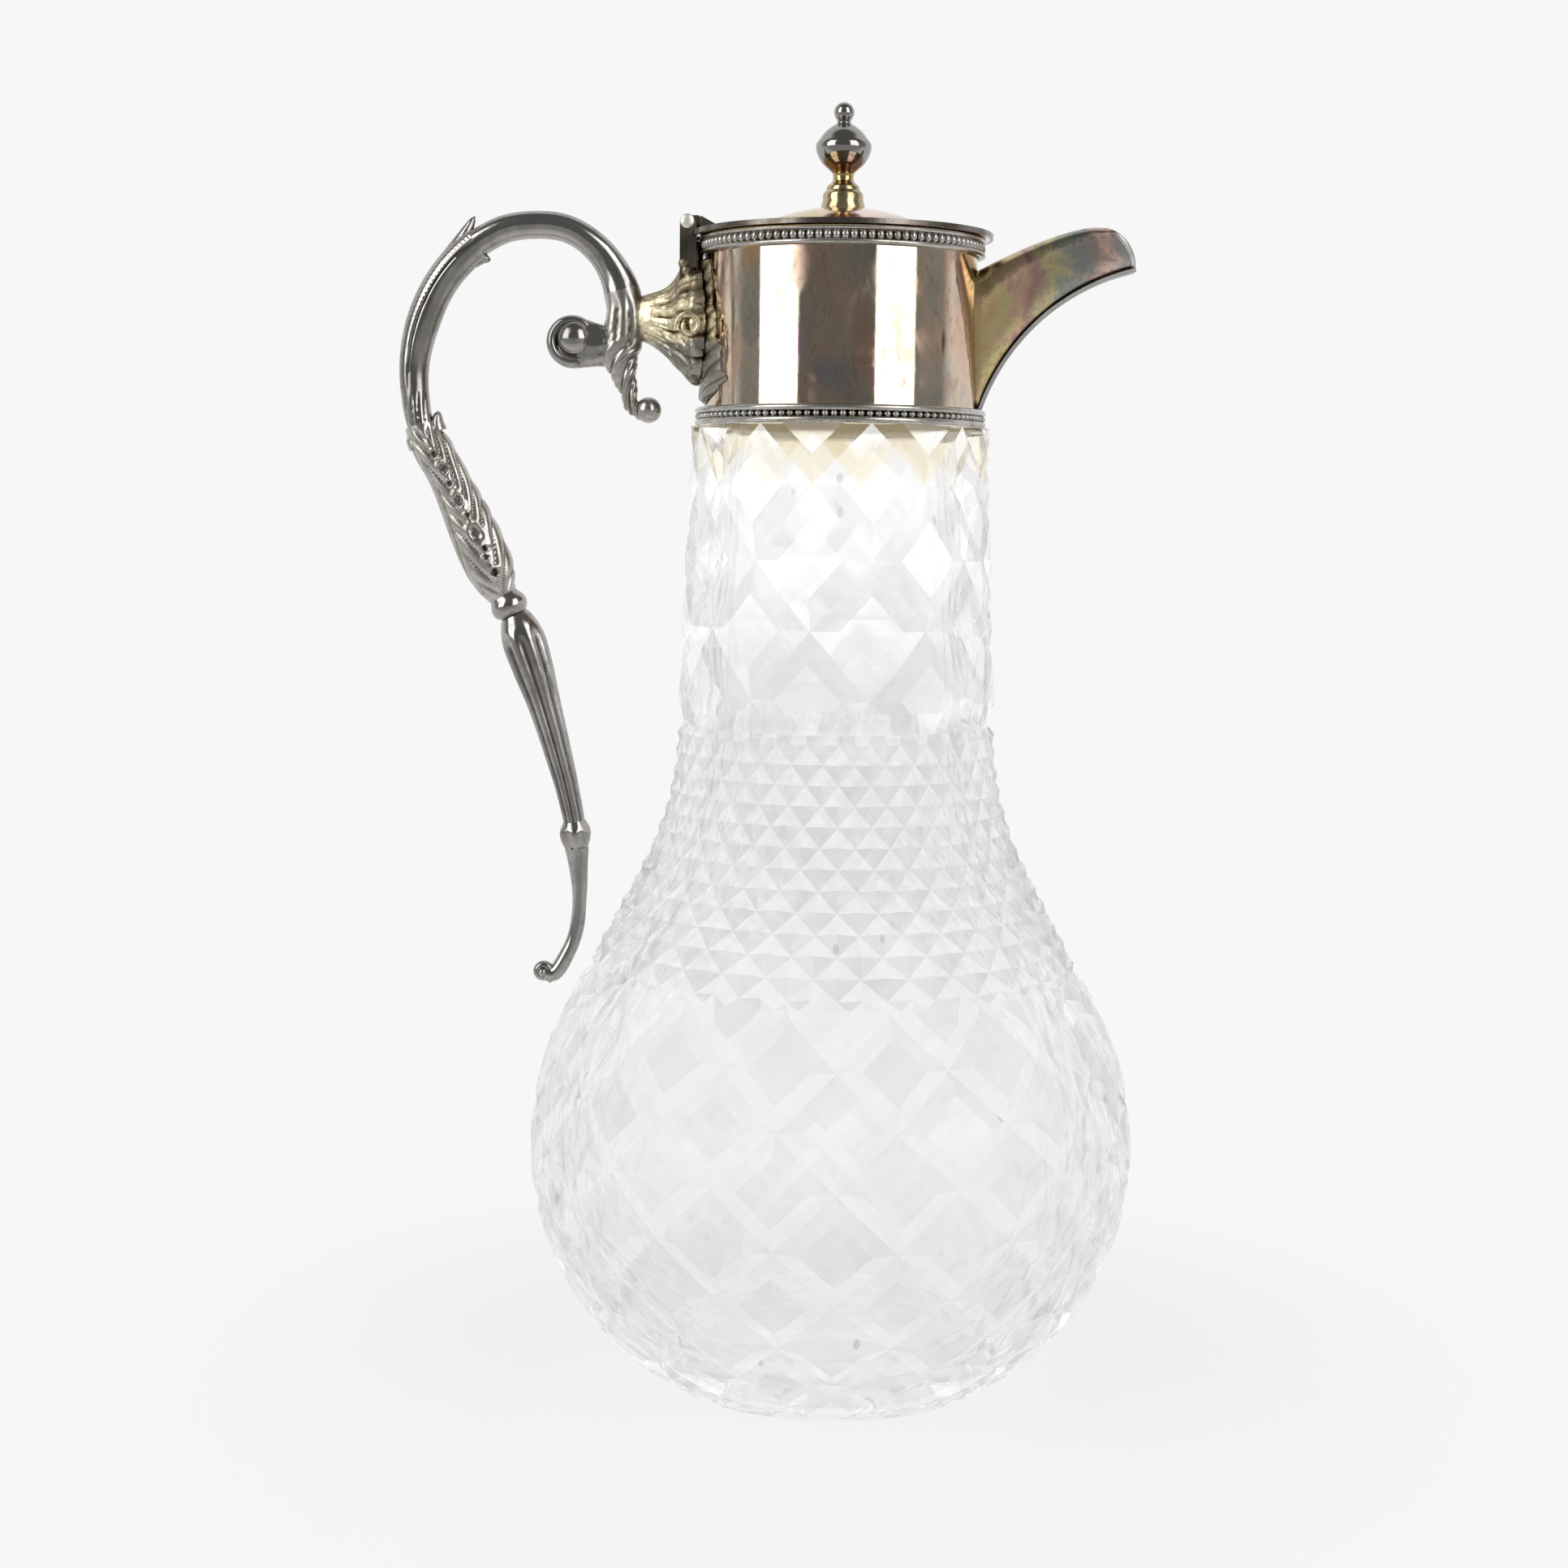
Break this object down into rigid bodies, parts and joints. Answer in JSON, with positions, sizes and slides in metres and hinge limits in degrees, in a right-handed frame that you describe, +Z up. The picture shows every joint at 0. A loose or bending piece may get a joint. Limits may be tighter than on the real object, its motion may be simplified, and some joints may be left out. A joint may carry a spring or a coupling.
{
  "type": "claret jug",
  "caption": "Cut-glass claret jug with a plated collar, beak spout, cast scroll handle and a hinged domed lid with a turned finial.",
  "frame": {"origin": "centre of the flat base, on the table", "axes": "+Z up along the bottle's axis, +X towards the spout, the handle at -X, the hinge pin along Y"},
  "size_m": [0.1679, 0.138, 0.288],
  "materials": {
    "cut_glass": "clear cut glass, polished",
    "cement": "dry plaster",
    "collar_plate": "polished silver plate, tarnished rose and brown",
    "inner_plate": "polished silver plate",
    "border_plate": "silver plate, dark in the hollows",
    "spout_plate": "silver plate, tarnished olive, rose and blue-grey",
    "bracket_plate": "cast, plate worn to a yellow tarnish",
    "handle_plate": "cast, silver plate darkened to steel grey",
    "pin_metal": "turned, bright",
    "lid_plate": "spun, silver plate with a rose-gold tarnish",
    "finial_brass": "turned, plate worn to yellow metal"
  },
  "bodies": {
    "jug": {"glass_body": "cut_glass", "neck_cement": "cement", "collar_band": "collar_plate", "collar_ledge": "inner_plate", "top_border": "border_plate", "bottom_border": "border_plate", "spout_shell": "spout_plate", "spout_keel": "border_plate", "bracket_plate": "bracket_plate", "bracket_arm": "bracket_plate", "handle_trunk": "handle_plate", "handle_volute": "handle_plate", "handle_arch": "handle_plate", "leaf_sheath": "handle_plate", "leaf_grip": "handle_plate", "knop_ring": "handle_plate", "fluted_stem": "handle_plate", "tail_collar": "handle_plate", "tail_scroll": "handle_plate", "hinge_post": "handle_plate", "hinge_pin": "pin_metal"},
    "lid": {"lid_plate": "lid_plate", "lid_edge_wire": "handle_plate", "lid_bezel": "inner_plate", "lid_leaf": "handle_plate", "finial_foot": "finial_brass", "finial": "handle_plate", "finial_stud": "pin_metal", "finial_washer": "pin_metal", "finial_nut": "pin_metal"}
  },
  "joints": [
    {"name": "lid_hinge", "type": "hinge", "parent": "jug", "child": "lid", "pos_m": [-0.0344, 0, 0.2611], "axis": [0, -1, 0], "range_deg": [0, 105]}
  ]
}
